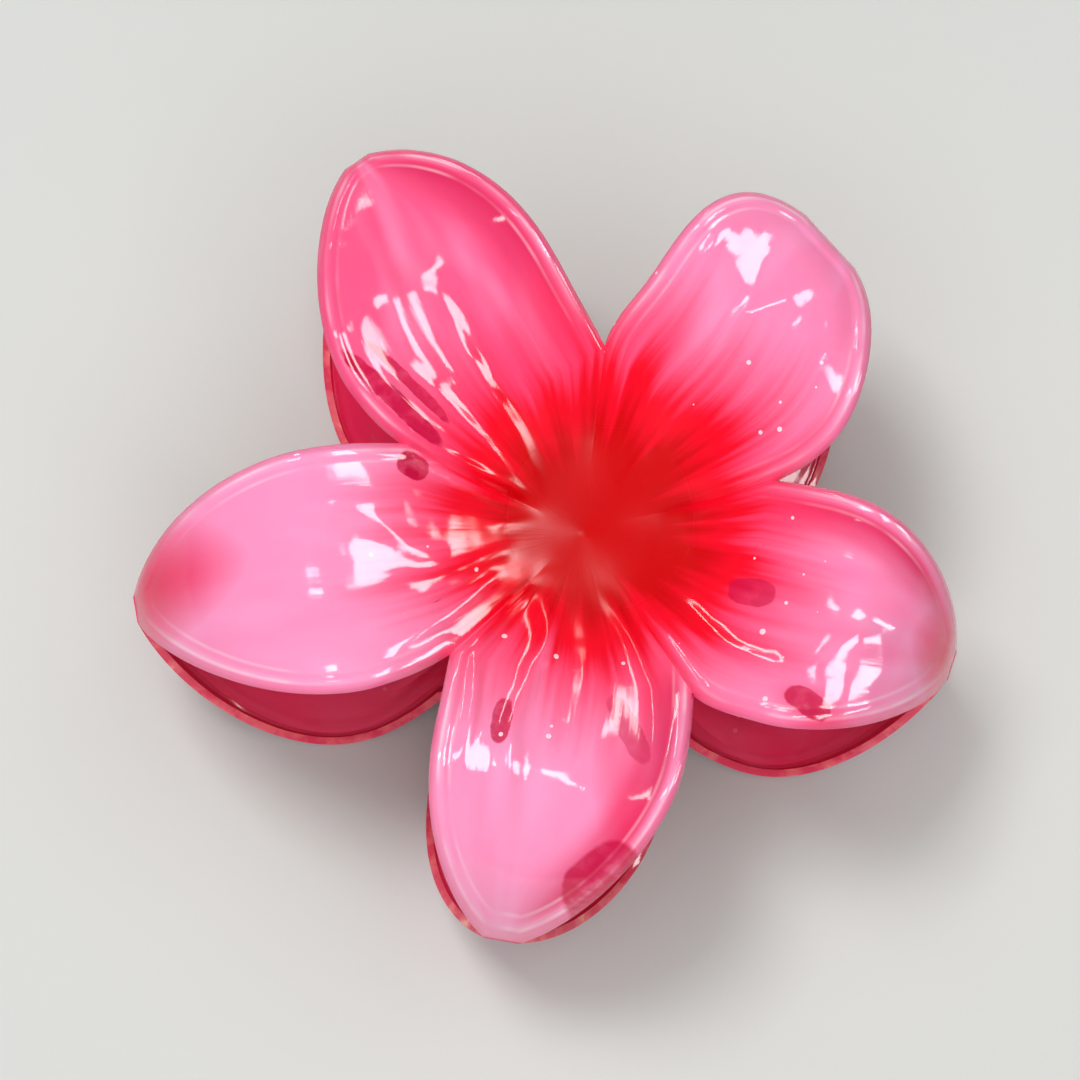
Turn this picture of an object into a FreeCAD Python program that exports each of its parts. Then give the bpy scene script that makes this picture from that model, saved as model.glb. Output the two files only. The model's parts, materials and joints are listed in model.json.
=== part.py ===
"""Flower hair claw clip: two five-petal flower mouldings back to back on one hinge pin, closed by a torsion spring.

Units are millimetres. The clip lies on its rear flower with the front flower facing up. X runs along the hinge, +Y
points to the two handle petals and -Y to the jaw petals, +Z is up. The origin is under the middle of the clip's box,
on the surface that it lies on. Shapes are made about the flower's own centre, halfway between the two flowers, where
z is 0 on the parting plane; place() moves them into the clip's frame at the end.
"""

import FreeCAD, Part
import math
import os

Vector = FreeCAD.Vector

# Flower outline, seen square on
WIDEST_AT = 21.4
TIP_WIDTH_SHARE = 0.1
NOTCH_ROUNDING = 4.0
THROAT_APOTHEM = 3.5

# Flower depth, measured up from the parting plane
CROWN_HEIGHT = 19.0
CROWN_AT = 24.0
THROAT_HEIGHT = 8.5
JAW_TIP_HEIGHT = -1.0
HANDLE_TIP_HEIGHT = 14.0
JAW_CURL = 0.90
HANDLE_CURL = 0.55
DISH_RISE = 1.4
DISH_ROLL = 3.4
DISH_STARTS = 8.0
DISH_FULL = 18.0
CREASE_DEPTH = 2.2
CREASE_STARTS = 4.0
CREASE_FULL = 10.0
CREASE_FADES = 13.0
CREASE_ENDS = 22.0
WALL = 2.0
WALL_TILT_STARTS = 17.0
WALL_TILT_FULL = 25.0
LEAN_STARTS = 17.5
JAW_GAP = 0.3

# Name, direction in degrees from +X, length from the flower's centre, half widths on the anticlockwise and
# clockwise sides, how far the tip leans clockwise, tip power (less is blunter), and whether it is a jaw
PETALS = [
    ("petal_upper_left", 129.5, 41.3, 12.5, 11.7, 2.3, 0.66, False),
    ("petal_upper_right", 46.0, 36.0, 12.9, 12.2, -4.4, 0.42, False),
    ("petal_right", -14.0, 38.4, 9.4, 13.8, -0.4, 0.66, True),
    ("petal_bottom", -95.4, 39.6, 13.0, 10.5, 1.2, 0.60, True),
    ("petal_left", -165.7, 43.9, 14.7, 10.3, 1.2, 0.66, True),
]

# Hinge: two inner lugs on the front flower, two outer lugs on the rear one, and a headed pin through all four
HINGE_Y = 9.0
PIN_RADIUS = 1.0
PIN_CLEARANCE = 0.05
PIN_HEAD_RADIUS = 1.9
PIN_HEAD_THICKNESS = 0.9
PIN_END_PLAY = 0.1
LUG_THICKNESS = 2.4
LUG_EYE_RADIUS = 3.2
LUG_ROOT_HALF_WIDTH = 4.4
INNER_LUG_X = 6.9
OUTER_LUG_X = 9.6

# Torsion spring: one steel wire, coiled round the pin, with a straight leg against each flower
WIRE_RADIUS = 0.5
COIL_RADIUS = 2.6
COIL_PITCH = 1.2
COIL_FULL_TURNS = 6
LEG_LENGTH = 13.5
LEG_ANGLE = 42.0
SEAT_WIDTH = 4.2
SEAT_LENGTH = 4.5
SEAT_OVERLAP = 2.4
SEAT_CLEARANCE = 0.12

# Tines: x, and radius about the hinge; the rear flower's are the same set turned end for end
TINES = [(-15.0, 21.5), (-3.0, 28.0), (9.0, 28.0), (21.0, 23.5)]
TINE_ROOT_RADIUS = 1.5
TINE_TIP_RADIUS = 0.8
TINE_REACH = 7.0
TINE_SECTIONS = 7

# Where the flower's centre stands in the clip's frame
FLOWER_X = 2.71
FLOWER_Y = 2.46
DISH_TOP = DISH_RISE * math.sqrt(DISH_RISE / (3.0 * DISH_ROLL)) * 2.0 / 3.0
MID_HEIGHT = CROWN_HEIGHT + DISH_TOP

STATIONS = 16
COLUMNS = 12
ABOVE_EVERYTHING = 30.0

FRONT, REAR = 1, -1
NAMES = {FRONT: "front", REAR: "rear"}


def smoothstep(low, high, x):
    """0 below low, 1 above high, and an S-curve between."""
    t = min(max((x - low) / (high - low), 0.0), 1.0)
    return t * t * (3.0 - 2.0 * t)


def soft_min(a, b, rounding):
    """The smaller of a and b, with the corner where they cross rounded off."""
    near = max(rounding - abs(a - b), 0.0) / rounding
    return min(a, b) - near * near * rounding / 4.0


def wedge_angles(index):
    """Angles from a petal's own direction to its creases with the next petals, anticlockwise and clockwise."""
    direction = PETALS[index][1]
    before = PETALS[index - 1][1]
    after = PETALS[(index + 1) % len(PETALS)][1]
    return ((before - direction) % 360.0) / 2.0, ((direction - after) % 360.0) / 2.0


def taper(s, length, power):
    """Share of its full width that a petal has, s along its length from the flower's centre."""
    x = max(s - WIDEST_AT, 0.0) / (length - WIDEST_AT)
    return (1.0 - min(x * x, 1.0)) ** power


def last_station(length, power):
    """Where the petal is cut blunt, at a small share of its full width."""
    return WIDEST_AT + math.sqrt(1.0 - TIP_WIDTH_SHARE ** (1.0 / power)) * (length - WIDEST_AT)


def crest(s, length, is_jaw):
    """Height of the outer face along a petal's centreline: up from the throat, over the crown, down to the tip."""
    if s <= CROWN_AT:
        return THROAT_HEIGHT + (CROWN_HEIGHT - THROAT_HEIGHT) * smoothstep(THROAT_APOTHEM, CROWN_AT, s)
    tip_height, curl = (JAW_TIP_HEIGHT, JAW_CURL) if is_jaw else (HANDLE_TIP_HEIGHT, HANDLE_CURL)
    x = min((s - CROWN_AT) / (length - CROWN_AT), 1.0)
    drop = (1.0 - math.sqrt(1.0 - curl * x * x)) / (1.0 - math.sqrt(1.0 - curl))
    return CROWN_HEIGHT - (CROWN_HEIGHT - tip_height) * drop


def petal_point(index, s, across, depth):
    """A point of a petal: s along it, across from -1 to 1, and depth below its outer face."""
    name, direction, length, anticlockwise_width, clockwise_width, lean, power, is_jaw = PETALS[index]
    anticlockwise_wedge, clockwise_wedge = wedge_angles(index)
    wedge, full_width = anticlockwise_wedge, anticlockwise_width
    if across < 0:
        wedge, full_width = clockwise_wedge, clockwise_width
    share = taper(s, length, power)
    width = soft_min(s * math.tan(math.radians(wedge)), full_width * share, NOTCH_ROUNDING)
    dish = (DISH_RISE * across**2 - DISH_ROLL * across**6) * share * smoothstep(DISH_STARTS, DISH_FULL, s)
    crease = smoothstep(CREASE_STARTS, CREASE_FULL, s) - smoothstep(CREASE_FADES, CREASE_ENDS, s)
    z = crest(s, length, is_jaw) + dish - CREASE_DEPTH * crease * across**2
    step = 0.01
    slope = (crest(s + step, length, is_jaw) - crest(s - step, length, is_jaw)) / (2.0 * step)
    slope *= smoothstep(WALL_TILT_STARTS, WALL_TILT_FULL, s)
    square = math.sqrt(1.0 + slope * slope)
    along = s + depth * slope / square
    side = across * width - lean * smoothstep(LEAN_STARTS, length, s)
    a = math.radians(direction)
    return Vector(
        along * math.cos(a) - side * math.sin(a),
        along * math.sin(a) + side * math.cos(a),
        z - depth / square,
    )


def petal_face(index, depth):
    """The smooth face of a petal at a depth below its outer face."""
    start, end = THROAT_APOTHEM, last_station(PETALS[index][2], PETALS[index][6])
    rows = []
    for i in range(STATIONS + 1):
        s = start + (end - start) * math.sin(math.pi / 2.0 * i / STATIONS)
        rows.append([petal_point(index, s, 2.0 * j / COLUMNS - 1.0, depth) for j in range(COLUMNS + 1)])
    face = Part.BSplineSurface()
    face.interpolate(rows)
    return face


def borders(face):
    """The four border edges of a surface."""
    u0, u1, v0, v1 = face.bounds()
    return [curve.toShape() for curve in (face.uIso(u0), face.uIso(u1), face.vIso(v0), face.vIso(v1))]


def petal(index):
    """One petal as a curved wall. A jaw petal's tip is trimmed flat where it meets the other flower's."""
    outer, inner = petal_face(index, 0.0), petal_face(index, WALL)
    sides = [Part.makeRuledSurface(a, b) for a, b in zip(borders(outer), borders(inner))]
    shell = Part.makeShell([outer.toShape(), inner.toShape(), *sides])
    shell.sewShape()
    solid = Part.makeSolid(shell)
    if solid.Volume < 0:
        solid.reverse()
    if PETALS[index][-1]:
        below = Part.makeBox(100.0, 100.0, 10.0, Vector(-50.0, -50.0, JAW_GAP / 2.0 - 10.0))
        solid = solid.cut(below).Solids[0]
    return solid


def throat():
    """The flat five-sided floor of the flower's throat, between the petals' feet."""
    corners = []
    for index in range(len(PETALS)):
        clockwise = wedge_angles(index)[1]
        a = math.radians(PETALS[index][1] - clockwise)
        radius = THROAT_APOTHEM / math.cos(math.radians(clockwise))
        corners.append(Vector(radius * math.cos(a), radius * math.sin(a), THROAT_HEIGHT - WALL))
    floor = Part.Face(Part.makePolygon([*corners, corners[0]]))
    return floor.extrude(Vector(0, 0, WALL))


def under_shell(shape, shell):
    """The part of shape that lies under the flower's wall, cut to fit its inner face."""
    for wall in shell:
        box = wall.BoundBox
        if shape.BoundBox.intersect(box):
            shape = shape.cut(wall)
    return min(shape.Solids, key=lambda solid: solid.BoundBox.ZMin)


def lug(x, shell):
    """One hinge lug: a flat plate from the flower's inner face to a round eye on the hinge line."""
    left = x - LUG_THICKNESS / 2.0
    eye = Part.makeCylinder(LUG_EYE_RADIUS, LUG_THICKNESS, Vector(left, HINGE_Y, 0), Vector(1, 0, 0))
    outline = [
        Vector(left, HINGE_Y - LUG_EYE_RADIUS, 0),
        Vector(left, HINGE_Y + LUG_EYE_RADIUS, 0),
        Vector(left, HINGE_Y + LUG_ROOT_HALF_WIDTH, ABOVE_EVERYTHING),
        Vector(left, HINGE_Y - LUG_ROOT_HALF_WIDTH, ABOVE_EVERYTHING),
    ]
    web = Part.Face(Part.makePolygon([*outline, outline[0]])).extrude(Vector(LUG_THICKNESS, 0, 0))
    plate = eye.fuse(web).removeSplitter()
    hole = Part.makeCylinder(
        PIN_RADIUS + PIN_CLEARANCE, LUG_THICKNESS, Vector(left, HINGE_Y, 0), Vector(1, 0, 0)
    )
    return under_shell(plate.cut(hole), shell)


def tine(x, radius, shell):
    """One tapered tine, bent to an arc about the hinge, from the flower's inner face past the parting plane."""
    top = math.asin(min(CROWN_HEIGHT / radius, 0.95))
    bottom = -math.asin((TINE_REACH - TINE_TIP_RADIUS) / radius)
    sections = []
    for i in range(TINE_SECTIONS):
        share = i / (TINE_SECTIONS - 1.0)
        angle = top + (bottom - top) * share
        thickness = TINE_ROOT_RADIUS + (TINE_TIP_RADIUS - TINE_ROOT_RADIUS) * share
        centre = Vector(x, HINGE_Y - radius * math.cos(angle), radius * math.sin(angle))
        along = Vector(0, -math.sin(angle), -math.cos(angle))
        sections.append(Part.Wire(Part.makeCircle(thickness, centre, along)))
    body = Part.makeLoft(sections, True)
    ball = Part.makeSphere(TINE_TIP_RADIUS, centre)
    return under_shell(body.fuse(ball), shell)


def leg_ends(flower):
    """Coil end, leg end and leg direction of one spring leg, for that flower's side of the spring."""
    turned = math.radians(90.0 + LEG_ANGLE)
    rise = COIL_PITCH / (2.0 * math.pi * COIL_RADIUS)
    half_coil = COIL_PITCH * (COIL_FULL_TURNS + (360.0 - 2.0 * (90.0 + LEG_ANGLE)) / 360.0) / 2.0
    start = Vector(-half_coil, HINGE_Y + COIL_RADIUS * math.cos(turned), COIL_RADIUS * math.sin(turned))
    outwards = Vector(-rise, math.sin(turned), -math.cos(turned))
    outwards.normalize()
    end = start + outwards * LEG_LENGTH
    return [Vector(p.x * flower, p.y, p.z * flower) for p in (start, end, outwards)]


def spring():
    """The torsion spring as one wire: the front flower's leg, the coil and the rear flower's leg."""
    start, front_end, front_way = leg_ends(FRONT)
    finish, rear_end, rear_way = leg_ends(REAR)
    helix = Part.makeHelix(COIL_PITCH, finish.x - start.x, COIL_RADIUS)
    first = Vector(0, start.y - HINGE_Y, start.z).normalize()
    second = Vector(1, 0, 0).cross(first)
    axes = FreeCAD.Matrix(
        first.x, second.x, 1, start.x, first.y, second.y, 0, HINGE_Y, first.z, second.z, 0, 0, 0, 0, 0, 1
    )
    helix.Placement = FreeCAD.Placement(axes)
    profile = Part.Wire(Part.makeCircle(WIRE_RADIUS, start, front_way))
    coil = Part.Wire(helix.Edges).makePipeShell([profile], True, True)
    front_leg = Part.makeCylinder(WIRE_RADIUS, LEG_LENGTH, start, front_way)
    rear_leg = Part.makeCylinder(WIRE_RADIUS, LEG_LENGTH, finish, rear_way)
    return coil.fuse([front_leg, rear_leg])


def spring_seat(flower, shell):
    """A small block inside the flower with a groove for the end of the spring's leg, made on the front side."""
    start, end, way = leg_ends(FRONT)
    end.x *= flower
    start.x *= flower
    way.x *= flower
    low = Vector(end.x - SEAT_WIDTH / 2.0, end.y - SEAT_LENGTH, end.z - SEAT_OVERLAP)
    block = Part.makeBox(SEAT_WIDTH, SEAT_LENGTH, ABOVE_EVERYTHING, low)
    groove = Part.makeCylinder(WIRE_RADIUS + SEAT_CLEARANCE, LEG_LENGTH + 1.0, start, way)
    slot = groove.copy()
    for drop in (1.0, 2.0, 3.0):
        slot = slot.fuse(groove.translated(Vector(0, 0, -drop)))
    return under_shell(block.cut(slot), shell)


def hinge_pin():
    """The steel pin with both heads formed."""
    shank_end = OUTER_LUG_X + LUG_THICKNESS / 2.0 + PIN_END_PLAY
    along = Vector(1, 0, 0)
    shank = Part.makeCylinder(PIN_RADIUS, 2.0 * shank_end, Vector(-shank_end, HINGE_Y, 0), along)
    for x in (-shank_end - PIN_HEAD_THICKNESS, shank_end):
        head = Part.makeCylinder(PIN_HEAD_RADIUS, PIN_HEAD_THICKNESS, Vector(x, HINGE_Y, 0), along)
        outer_rim = max if x > 0 else min
        rim = outer_rim(head.Edges, key=lambda edge: edge.BoundBox.Center.x)
        shank = shank.fuse(head.makeFillet(PIN_HEAD_THICKNESS * 0.6, [rim]))
    return shank.removeSplitter()


def place(shape, flower):
    """Turns a shape made on the front side to its own flower's side and stands it in the clip's frame."""
    if flower == REAR:
        shape = shape.mirror(Vector(0, 0, 0), Vector(0, 0, 1))
    return shape.translated(Vector(FLOWER_X, FLOWER_Y, MID_HEIGHT))


def flower_nodes(flower):
    """Every sub-part of one flower moulding, by node name."""
    walls = [petal(index) for index in range(len(PETALS))]
    floor = throat()
    shell = [*walls, floor]
    lug_x = INNER_LUG_X if flower == FRONT else OUTER_LUG_X
    nodes = {PETALS[index][0]: walls[index] for index in range(len(PETALS))}
    nodes["throat"] = floor
    nodes["hinge_lugs"] = Part.makeCompound([lug(x, shell) for x in (-lug_x, lug_x)])
    nodes["tines"] = Part.makeCompound([tine(x * flower, radius, shell) for x, radius in TINES])
    nodes["spring_seat"] = spring_seat(flower, shell)
    return {f"{NAMES[flower]}_{name}": place(shape, flower) for name, shape in nodes.items()}


def main():
    os.makedirs("parts", exist_ok=True)
    nodes = {**flower_nodes(FRONT), **flower_nodes(REAR)}
    nodes["hinge_pin"] = place(hinge_pin(), FRONT)
    nodes["torsion_spring"] = place(spring(), FRONT)
    for name, shape in nodes.items():
        shape.exportStep(f"parts/{name}.step")
        print(name, "solids", len(shape.Solids), "valid", shape.isValid(), "volume", round(shape.Volume, 2))
    box = Part.makeCompound(list(nodes.values())).optimalBoundingBox(False, False)
    print("box", [round(v, 2) for v in (box.XMin, box.XMax, box.YMin, box.YMax, box.ZMin, box.ZMax)])


main()
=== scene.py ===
"""Looks of the flower hair claw clip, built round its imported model.

Objects are in metres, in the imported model's frame. Petal shapes are worked out in millimetres about the
flower's own centre, halfway between the two flowers, and are turned into metres when their mesh is made.
"""

import bmesh
import bpy
import collections
import json
import math
import numpy as np
from mathutils import Matrix, Vector


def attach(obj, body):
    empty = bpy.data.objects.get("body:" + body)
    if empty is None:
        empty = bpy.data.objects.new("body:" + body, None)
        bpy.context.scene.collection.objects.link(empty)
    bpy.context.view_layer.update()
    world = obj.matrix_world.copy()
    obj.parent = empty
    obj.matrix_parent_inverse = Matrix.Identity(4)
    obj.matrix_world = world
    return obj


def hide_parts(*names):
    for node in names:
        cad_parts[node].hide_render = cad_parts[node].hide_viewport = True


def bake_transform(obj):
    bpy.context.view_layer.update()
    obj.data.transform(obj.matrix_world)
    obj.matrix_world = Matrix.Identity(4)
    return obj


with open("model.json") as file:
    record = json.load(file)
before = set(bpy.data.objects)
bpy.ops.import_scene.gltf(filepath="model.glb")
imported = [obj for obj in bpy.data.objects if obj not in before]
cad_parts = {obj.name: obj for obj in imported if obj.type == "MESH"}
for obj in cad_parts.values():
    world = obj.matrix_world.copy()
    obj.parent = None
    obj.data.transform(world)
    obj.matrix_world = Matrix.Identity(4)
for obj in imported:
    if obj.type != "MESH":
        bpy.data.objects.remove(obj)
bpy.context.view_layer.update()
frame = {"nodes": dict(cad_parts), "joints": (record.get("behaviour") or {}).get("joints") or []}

MM = 0.001
HINGE = Vector(frame["joints"][0]["pos_m"])
HINGE_Y = 9.0
CENTRE = HINGE - Vector((0.0, HINGE_Y * MM, 0.0))
FRONT, REAR = "front", "rear"
SIDE = {FRONT: 1.0, REAR: -1.0}
BODY = {FRONT: "front_half", REAR: "rear_half"}

# Flower outline, as in the CAD model: direction in degrees from +X, length, half widths on the
# anticlockwise and clockwise sides, how far the tip leans clockwise, tip power (less is blunter), and
# whether it is a jaw
Petal = collections.namedtuple("Petal", "name direction length anticlockwise clockwise lean power is_jaw")
PETALS = [
    Petal("petal_upper_left", 129.5, 41.3, 12.5, 11.7, 2.3, 0.66, False),
    Petal("petal_upper_right", 46.0, 36.0, 12.9, 12.2, -4.4, 0.42, False),
    Petal("petal_right", -14.0, 38.4, 9.4, 13.8, -0.4, 0.66, True),
    Petal("petal_bottom", -95.4, 39.6, 13.0, 10.5, 1.2, 0.60, True),
    Petal("petal_left", -165.7, 43.9, 14.7, 10.3, 1.2, 0.66, True),
]
WIDEST_AT = 21.4
LEAN_STARTS = 17.5
NOTCH_SHARE = 0.99
NOTCH_SLOPE = 0.75
NOTCH_EASE = 2.0

# Flower depth, up from the parting plane
CROWN_HEIGHT = 19.0
CROWN_AT = 24.0
FUNNEL_BOTTOM = 6.4
FUNNEL_SLOPE = 0.60
ROUND_THROAT = 3.0
CROWN_ROUNDING = 5.0
JAW_TIP_HEIGHT = 0.35
PARTING_GAP = 0.15
HANDLE_TIP_HEIGHT = 14.0
JAW_CURL = 0.90
HANDLE_CURL = 0.55
WALL = 1.9
EDGE_WALL_SHARE = 0.42
WALL_THINNEST = 0.3
WALL_FULL = 5.5
RIM_ROUNDING = 0.55
RIM_SEGMENTS = 3
RIM_ANGLE = math.radians(55.0)

# Surface relief: a dished middle inside a rolled border that ends in a small shoulder
DISH = 1.5
DISH_STARTS = 1.6
DISH_ENDS = 10.0
BEAD_TOP = 0.30
BEAD_ROLL = 0.75
BEAD_ROLLS_OFF = 0.75
SHOULDER = 0.28
SHOULDER_STARTS = 1.2
SHOULDER_ENDS = 1.9
BORDER_STARTS = 6.0
BORDER_FULL = 15.0
RELIEF_STARTS = 7.0
RELIEF_FULL = 17.0
CREASE_DEPTH = 2.2
CREASE_STARTS = 2.5
CREASE_FULL = 9.0
CREASE_FADES = 13.0
CREASE_ENDS = 22.0
THROAT_SMOOTH = 3.0
THROAT_SMOOTH_ENDS = 8.0
RIPPLE = 0.03
TIP_TRIM = 0.36
EDGE_STEPS = 100
EDGE_RUN_ON = 9.0

# The side of each petal whose border is darkened with painted shade (+ is anticlockwise), and how
# strongly
SHADED_SIDE = (-1.0, -0.35, 1.0, 1.0, 0.0)
SHADE_ACROSS = (0.05, 0.75)
SHADE_ALONG = (8.0, 16.0)

# Ribs and folds: petal, points as (distance along, share of the half width), height, half width
RIBS = [
    (0, [(3.6, 0.62), (6.0, 0.32), (9.0, 0.12), (15.0, 0.05), (20.0, 0.06), (24.5, 0.22)], 0.70, 0.95),
    (0, [(16.0, 0.02), (22.0, 0.0), (27.5, 0.0)], 0.35, 0.8),
    (0, [(4.5, 0.86), (9.0, 0.56), (15.0, 0.43), (20.5, 0.50), (25.0, 0.60)], 0.55, 0.7),
    (0, [(12.0, 0.72), (18.0, 0.72), (25.5, 0.74)], 0.40, 0.6),
    (0, [(15.0, 0.34), (21.0, 0.36), (28.0, 0.34), (34.0, 0.24)], 0.55, 1.5),
    (1, [(5.0, 0.20), (7.0, 0.16), (10.5, 0.16)], 0.20, 0.5),
    (1, [(17.0, 0.66), (23.0, 0.71), (31.0, 0.78)], 0.25, 0.7),
    (1, [(17.0, 0.10), (20.0, 0.26), (25.0, 0.16), (29.0, -0.04), (31.5, -0.10),
         (34.0, 0.24)], 0.50, 1.5),
    (1, [(18.0, -0.62), (23.0, -0.51), (30.0, -0.47), (34.0, -0.24)], 0.25, 1.0),
    (2, [(9.0, -0.45), (13.0, -0.50), (18.0, -0.58), (25.0, -0.56)], 0.50, 0.8),
    (2, [(8.0, -0.75), (12.0, -0.77), (18.0, -0.84), (23.5, -0.90)], 0.30, 0.6),
    (2, [(22.0, -0.62), (25.5, -0.40), (29.0, -0.25), (33.0, -0.38)], 0.50, 1.7),
    (2, [(10.0, 0.62), (20.0, 0.47), (28.0, 0.50), (33.0, 0.24)], -0.30, 1.2),
    (3, [(5.0, -0.70), (7.6, -0.52), (10.0, -0.27), (16.0, -0.26), (20.0, -0.33), (27.0, -0.26),
         (34.0, -0.26)], 0.80, 1.0),
    (3, [(5.0, 0.50), (9.2, 0.70), (14.0, 0.69), (20.0, 0.74), (26.0, 0.76)], 0.45, 0.65),
    (3, [(7.0, 0.10), (11.0, 0.22), (16.0, 0.22), (21.0, 0.18), (27.0, 0.22)], 0.25, 1.2),
    (3, [(11.5, -0.84), (18.5, -0.72), (27.0, -0.70)], 0.42, 0.6),
    (4, [(3.4, -0.70), (6.0, -0.42), (9.5, -0.18)], 0.35, 0.6),
    (4, [(6.0, 0.10), (9.0, 0.24), (14.0, 0.30), (20.0, 0.22)], 0.35, 0.8),
    (4, [(8.0, 0.50), (12.8, 0.65), (16.0, 0.69), (21.5, 0.80)], 0.45, 0.65),
    (4, [(13.0, 0.12), (16.5, 0.02), (19.0, -0.22), (23.5, -0.40)], 0.35, 1.0),
    (4, [(22.5, -0.36), (24.8, -0.20), (25.2, 0.05), (24.6, 0.26)], 0.15, 0.7),
]
RIB_STEP = 0.5
RIB_FADES_IN = 0.2
RIB_FADES_OUT = 0.6

# Lips where a petal's border runs on past the notch over its neighbour: petal, side, where it starts
LIPS = [(0, 1.0, 4.0), (3, -1.0, 6.0), (2, -1.0, 9.0)]
LIP_OVERRUN = 3.0
LIP_INSET = 0.95
LIP_HEIGHT = 0.75
LIP_HALF_WIDTH = 0.62
CREASE_FADE = 0.55

# Mesh density
ROW_STEP = 0.4
SHARED_ROWS = 44
TIP_ROWS = 72
COLUMNS = 68
COLUMN_CROWDING = 0.72
WELD_DISTANCE = 0.0005

# Texture coordinates: "petal" holds the share across, plus PETAL_STEP for each petal, and the cm along.
# "border" holds the cm from the edge, and how strongly painted shade darkens the border.
PETAL_STEP = 3.0
CM = 10.0


def smoothstep(low, high, x):
    """0 below low, 1 above high, and an S-curve between."""
    t = np.clip((x - low) / (high - low), 0.0, 1.0)
    return t * t * (3.0 - 2.0 * t)


# ---- petal surface ----


def wedge_angles(index):
    """Angles from a petal's direction to its creases, on the anticlockwise and clockwise sides."""
    before, after = PETALS[index - 1], PETALS[(index + 1) % len(PETALS)]
    direction = PETALS[index].direction
    return ((before.direction - direction) % 360.0) / 2.0, ((direction - after.direction) % 360.0) / 2.0


def wedge_slope(index, side):
    """How fast a petal widens along its crease on one side."""
    anticlockwise, clockwise = wedge_angles(index)
    return math.tan(math.radians(anticlockwise if side > 0 else clockwise))


def taper(s, length, power):
    """Share of its full width that a petal has, s along its length from the flower's centre."""
    x = np.clip(s - WIDEST_AT, 0.0, None) / (length - WIDEST_AT)
    return np.clip(1.0 - x * x, 0.0, 1.0) ** power


def notch_station(index, side):
    """Where a petal parts from its neighbour on that side, rounded to a whole row."""
    if side > 0:
        width = min(PETALS[index].anticlockwise, PETALS[index - 1].clockwise)
    else:
        width = min(PETALS[index].clockwise, PETALS[(index + 1) % len(PETALS)].anticlockwise)
    return round(NOTCH_SHARE * width / wedge_slope(index, side) / ROW_STEP) * ROW_STEP


def half_width(index, s, side):
    """Half width of a petal on one side: along the crease to the notch, then its own outline."""
    petal = PETALS[index]
    wedge = wedge_slope(index, side)
    full = petal.anticlockwise if side > 0 else petal.clockwise
    notch = notch_station(index, side)
    gap = max(full - notch * wedge, 0.0)
    ease = max(gap / (NOTCH_SLOPE * wedge), NOTCH_EASE)
    past = np.clip(s - notch, 0.0, None)
    alone = full * taper(s, petal.length, petal.power) - gap * np.exp(-past / ease)
    return np.where(s <= notch + 1e-9, s * wedge, np.clip(alone, 0.0, None))


def crest(s, radius, length, is_jaw):
    """Height of the outer face without its relief: up out of the throat, over and down to the tip."""
    run = radius + (s - radius) * smoothstep(ROUND_THROAT, CROWN_AT, s)
    funnel = FUNNEL_BOTTOM + FUNNEL_SLOPE * run
    tip_height, curl = (JAW_TIP_HEIGHT, JAW_CURL) if is_jaw else (HANDLE_TIP_HEIGHT, HANDLE_CURL)
    x = np.clip((s - CROWN_AT) / (length - CROWN_AT), 0.0, 1.0)
    drop = (1.0 - np.sqrt(1.0 - curl * x * x)) / (1.0 - math.sqrt(1.0 - curl))
    arch = CROWN_HEIGHT - (CROWN_HEIGHT - tip_height) * drop
    near = np.clip(CROWN_ROUNDING - np.abs(funnel - arch), 0.0, None) / CROWN_ROUNDING
    return np.minimum(funnel, arch) - near * near * CROWN_ROUNDING / 4.0


def rows(length):
    """Stations along a petal: evenly spaced up to the notches, then closing up towards the tip."""
    shared = np.arange(SHARED_ROWS + 1) * ROW_STEP
    turn = np.linspace(0.0, math.pi / 2.0, TIP_ROWS + 1)[1:]
    return np.concatenate([shared, shared[-1] + (length - shared[-1]) * np.sin(turn)])


def columns():
    """Stations across a petal from -1 to 1, closing up a little towards both edges."""
    u = np.linspace(-1.0, 1.0, COLUMNS + 1)
    return (1.0 - COLUMN_CROWDING) * u + COLUMN_CROWDING * np.sin(math.pi / 2.0 * u)


def plan(index, s, across):
    """Where a station of a petal lies, seen square on."""
    petal = PETALS[index]
    a = math.radians(petal.direction)
    width = np.where(across > 0, half_width(index, s, 1.0), half_width(index, s, -1.0))
    side = across * width - petal.lean * smoothstep(LEAN_STARTS, petal.length, s)
    return s * math.cos(a) - side * math.sin(a), s * math.sin(a) + side * math.cos(a)


def distance_to_path(path, x, y):
    """Distance of every point from a path in plan, and the share of the path before its nearest point."""
    points = np.stack([x.ravel(), y.ravel()], 1)
    best = np.full(len(points), 1e9)
    share = np.zeros(len(points))
    lengths = np.hypot(*np.diff(path, axis=0).T)
    before = np.concatenate([[0.0], np.cumsum(lengths)])
    for k, (start, end) in enumerate(zip(path[:-1], path[1:])):
        step = end - start
        t = np.clip(((points - start) @ step) / max(step @ step, 1e-12), 0.0, 1.0)
        distance = np.hypot(*(points - start - t[:, None] * step).T)
        nearer = distance < best
        best = np.where(nearer, distance, best)
        share = np.where(nearer, (before[k] + t * lengths[k]) / before[-1], share)
    return best.reshape(x.shape), share.reshape(x.shape)


def distance_to_edge(index, x, y, run_on=0.0):
    """Distance of every point from its petal's free edge, which may run straight on past the notches."""
    length = PETALS[index].length - TIP_TRIM
    edge = []
    for side, order in ((1.0, 1), (-1.0, -1)):
        notch = notch_station(index, side)
        s = notch + (length - notch) * np.sin(np.linspace(0.0, math.pi / 2.0, EDGE_STEPS))
        outline = np.stack(plan(index, s, np.full_like(s, side)), 1)
        if run_on:
            way = outline[0] - outline[1]
            outline = np.concatenate([[outline[0] + run_on * way / np.hypot(*way)], outline])
        edge.append(outline[::order])
    return distance_to_path(np.concatenate(edge), x, y)[0]


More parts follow.
